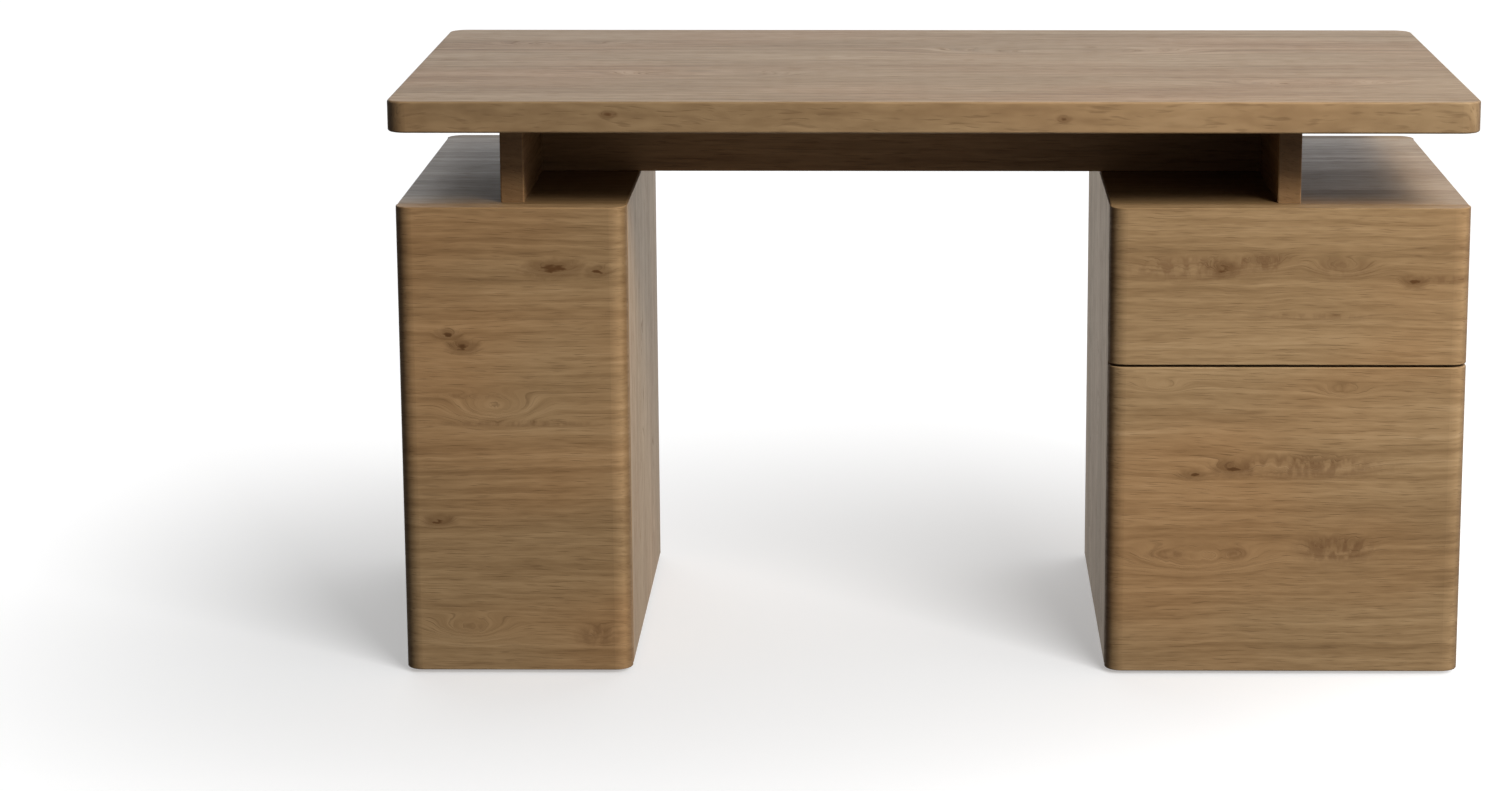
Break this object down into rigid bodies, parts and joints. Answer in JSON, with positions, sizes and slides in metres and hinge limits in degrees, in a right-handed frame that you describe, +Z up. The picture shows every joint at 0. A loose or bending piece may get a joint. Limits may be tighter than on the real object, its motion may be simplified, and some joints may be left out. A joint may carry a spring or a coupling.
{
  "type": "pedestal desk",
  "caption": "Oak pedestal desk with a floating slab top on a riser frame, a push-open door cabinet at the left, and a drawer over a file drawer at the right.",
  "frame": {"origin": "the floor point under the middle of the desktop", "axes": "+X to the right along the desktop as the sitter sees it from the front, +Y to the back, +Z up"},
  "size_m": [1.372, 0.711, 0.762],
  "materials": {
    "oak_slab": "matt oiled oak",
    "oak_frame": "matt oiled oak",
    "oak_fronts": "matt oiled oak",
    "oak_case": "matt oiled oak",
    "drawer_birch": "clear lacquered birch",
    "beech_dowel": "plain beech",
    "zinc_steel": "zinc plated steel",
    "black_steel": "black powder coat",
    "hinge_brass": "satin brass",
    "grey_nylon": "moulded nylon"
  },
  "bodies": {
    "desk": {"back_dowels": "beech_dowel", "beam_dowels": "beech_dowel", "cross_beam": "oak_frame", "desktop": "oak_slab", "desktop_inserts": "hinge_brass", "door_catch_block": "grey_nylon", "drawer_catch_blocks": "grey_nylon", "drawer_divider": "oak_case", "file_slide_cabinet_members": "zinc_steel", "hinge_case_leaves": "hinge_brass", "hinge_case_screws": "hinge_brass", "hinge_pins": "hinge_brass", "left_back_panel": "oak_case", "left_case_bottom": "oak_case", "left_case_top": "oak_case", "left_glides": "grey_nylon", "left_inner_side": "oak_case", "left_outer_side": "oak_case", "left_riser": "oak_frame", "left_shelf": "oak_case", "right_back_panel": "oak_case", "right_case_bottom": "oak_case", "right_case_top": "oak_case", "right_glides": "grey_nylon", "right_inner_side": "oak_case", "right_outer_side": "oak_case", "right_riser": "oak_frame", "riser_bolts": "zinc_steel", "shelf_pins": "zinc_steel", "upper_slide_cabinet_members": "zinc_steel"},
    "door": {"door": "oak_fronts", "hinge_door_leaves": "hinge_brass", "hinge_door_screws": "hinge_brass", "door_strike_plate": "zinc_steel"},
    "door_plunger": {"door_catch_plunger": "grey_nylon"},
    "upper_drawer": {"upper_drawer_front": "oak_fronts", "upper_front_screws": "zinc_steel", "upper_slide_drawer_members": "zinc_steel", "upper_box_back": "drawer_birch", "upper_box_bottom": "drawer_birch", "upper_box_front": "drawer_birch", "upper_box_left_side": "drawer_birch", "upper_box_right_side": "drawer_birch"},
    "upper_slide_middle": {"upper_slide_middle_members": "zinc_steel"},
    "upper_plunger": {"upper_catch_plunger": "grey_nylon"},
    "file_drawer": {"file_drawer_front": "oak_fronts", "file_front_screws": "zinc_steel", "file_slide_drawer_members": "zinc_steel", "file_box_back": "drawer_birch", "file_box_bottom": "drawer_birch", "file_box_front": "drawer_birch", "file_box_left_side": "drawer_birch", "file_box_right_side": "drawer_birch", "file_rails": "black_steel"},
    "file_slide_middle": {"file_slide_middle_members": "zinc_steel"},
    "file_plunger": {"file_catch_plunger": "grey_nylon"}
  },
  "joints": [
    {"name": "door_hinge", "type": "hinge", "parent": "desk", "child": "door", "pos_m": [-0.6831, -0.2727, 0.312], "axis": [0, 0, -1], "range_deg": [0, 100]},
    {"name": "door_catch_travel", "type": "slide", "parent": "desk", "child": "door_plunger", "axis": [0, -1, 0], "range_m": [0, 0.008]},
    {"name": "upper_drawer_slide", "type": "slide", "parent": "desk", "child": "upper_drawer", "axis": [0, -1, 0], "range_m": [0, 0.45]},
    {"name": "upper_slide_middle_travel", "type": "slide", "parent": "desk", "child": "upper_slide_middle", "axis": [0, -1, 0], "range_m": [0, 0.225]},
    {"name": "upper_catch_travel", "type": "slide", "parent": "desk", "child": "upper_plunger", "axis": [0, -1, 0], "range_m": [0, 0.012]},
    {"name": "file_drawer_slide", "type": "slide", "parent": "desk", "child": "file_drawer", "axis": [0, -1, 0], "range_m": [0, 0.45]},
    {"name": "file_slide_middle_travel", "type": "slide", "parent": "desk", "child": "file_slide_middle", "axis": [0, -1, 0], "range_m": [0, 0.225]},
    {"name": "file_catch_travel", "type": "slide", "parent": "desk", "child": "file_plunger", "axis": [0, -1, 0], "range_m": [0, 0.012]}
  ],
  "couplings": [
    {"joint": "door_catch_travel", "follows": "door_hinge", "m_per_rad": 0.0045},
    {"joint": "upper_slide_middle_travel", "follows": "upper_drawer_slide", "ratio": 0.5},
    {"joint": "upper_catch_travel", "follows": "upper_drawer_slide", "ratio": 0.0266},
    {"joint": "file_slide_middle_travel", "follows": "file_drawer_slide", "ratio": 0.5},
    {"joint": "file_catch_travel", "follows": "file_drawer_slide", "ratio": 0.0266}
  ]
}
